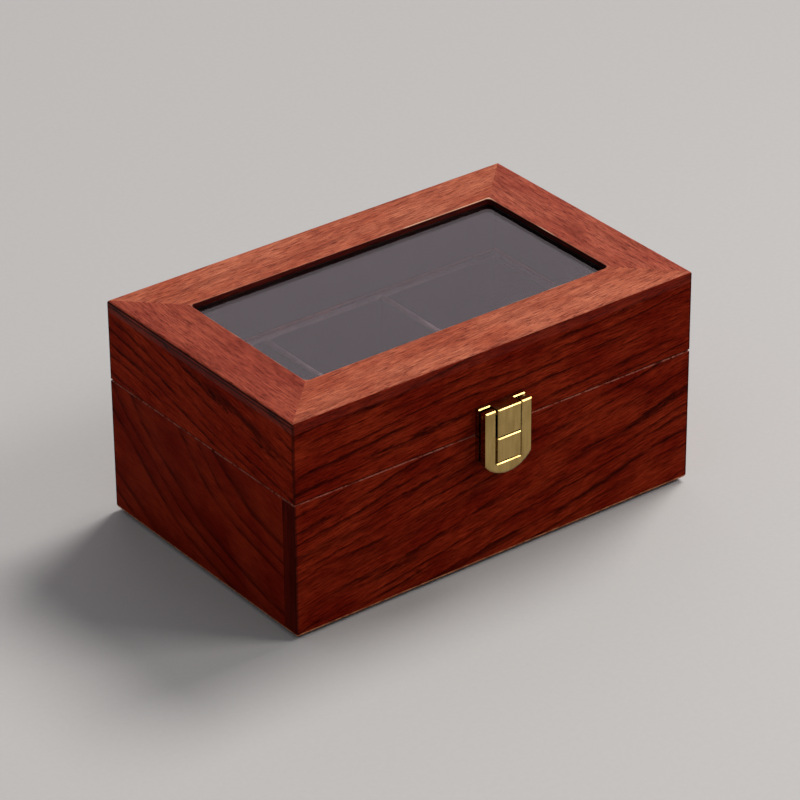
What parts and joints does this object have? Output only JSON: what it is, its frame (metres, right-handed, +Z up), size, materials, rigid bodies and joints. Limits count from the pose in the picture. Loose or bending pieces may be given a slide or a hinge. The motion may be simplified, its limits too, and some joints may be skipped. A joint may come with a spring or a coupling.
{
  "type": "watch box",
  "caption": "Rectangular wooden box with a glazed hinged lid, a front snap latch, and a velvet-lined base with dividers and loose oval watch pillows.",
  "frame": {"origin": "centre of the underside of the felt that the box rests on", "axes": "+Z up, -Y towards the front with the latch, +X to the right of someone facing the front"},
  "size_m": [0.2, 0.1396, 0.098],
  "materials": {
    "case_wood": "satin red-brown stained veneer, lacquered",
    "rail_wood": "satin red-brown stained veneer, lacquered",
    "plywood": "raw plywood",
    "glass": "clear polished",
    "velvet": "charcoal velvet",
    "pillow_velvet": "charcoal velvet",
    "felt": "black felt",
    "brass": "polished brass plating"
  },
  "bodies": {
    "base": {"base_front_board": "case_wood", "base_back_board": "case_wood", "base_left_board": "case_wood", "base_right_board": "case_wood", "bottom_panel": "plywood", "base_felt": "felt", "floor_lining": "velvet", "front_lining": "velvet", "back_lining": "velvet", "left_lining": "velvet", "right_lining": "velvet", "left_divider": "velvet", "right_divider": "velvet", "left_hinge_base_leaf": "brass", "right_hinge_base_leaf": "brass", "left_hinge_pin": "brass", "right_hinge_pin": "brass", "hinge_base_screws": "brass", "latch_base_plate": "brass", "latch_base_screws": "brass"},
    "lid": {"lid_front_board": "case_wood", "lid_back_board": "case_wood", "lid_left_board": "case_wood", "lid_right_board": "case_wood", "top_rail_front": "rail_wood", "top_rail_back": "rail_wood", "top_rail_left": "rail_wood", "top_rail_right": "rail_wood", "glass_pane": "glass", "glass_gasket": "felt", "retainer_front": "velvet", "retainer_back": "velvet", "retainer_left": "velvet", "retainer_right": "velvet", "lid_front_lining": "velvet", "lid_back_lining": "velvet", "lid_left_lining": "velvet", "lid_right_lining": "velvet", "left_hinge_lid_leaf": "brass", "right_hinge_lid_leaf": "brass", "hinge_lid_screws": "brass", "latch_lid_plate": "brass", "latch_lid_screws": "brass", "latch_pin": "brass"},
    "latch_flap": {"latch_flap": "brass"},
    "left_pillow": {"left_pillow": "pillow_velvet"},
    "middle_pillow": {"middle_pillow": "pillow_velvet"},
    "right_pillow": {"right_pillow": "pillow_velvet"}
  },
  "joints": [
    {"name": "lid_hinge", "type": "hinge", "parent": "base", "child": "lid", "pos_m": [0, 0.0651, 0.0616], "axis": [-1, 0, 0], "range_deg": [0, 95]},
    {"name": "latch_hinge", "type": "hinge", "parent": "lid", "child": "latch_flap", "pos_m": [0, -0.0682, 0.0716], "axis": [-1, 0, 0], "range_deg": [0, 100]},
    {"name": "left_pillow_lift", "type": "slide", "parent": "base", "child": "left_pillow", "axis": [0, 0, 1], "range_m": [0, 0.038]},
    {"name": "middle_pillow_lift", "type": "slide", "parent": "base", "child": "middle_pillow", "axis": [0, 0, 1], "range_m": [0, 0.038]},
    {"name": "right_pillow_lift", "type": "slide", "parent": "base", "child": "right_pillow", "axis": [0, 0, 1], "range_m": [0, 0.038]}
  ]
}
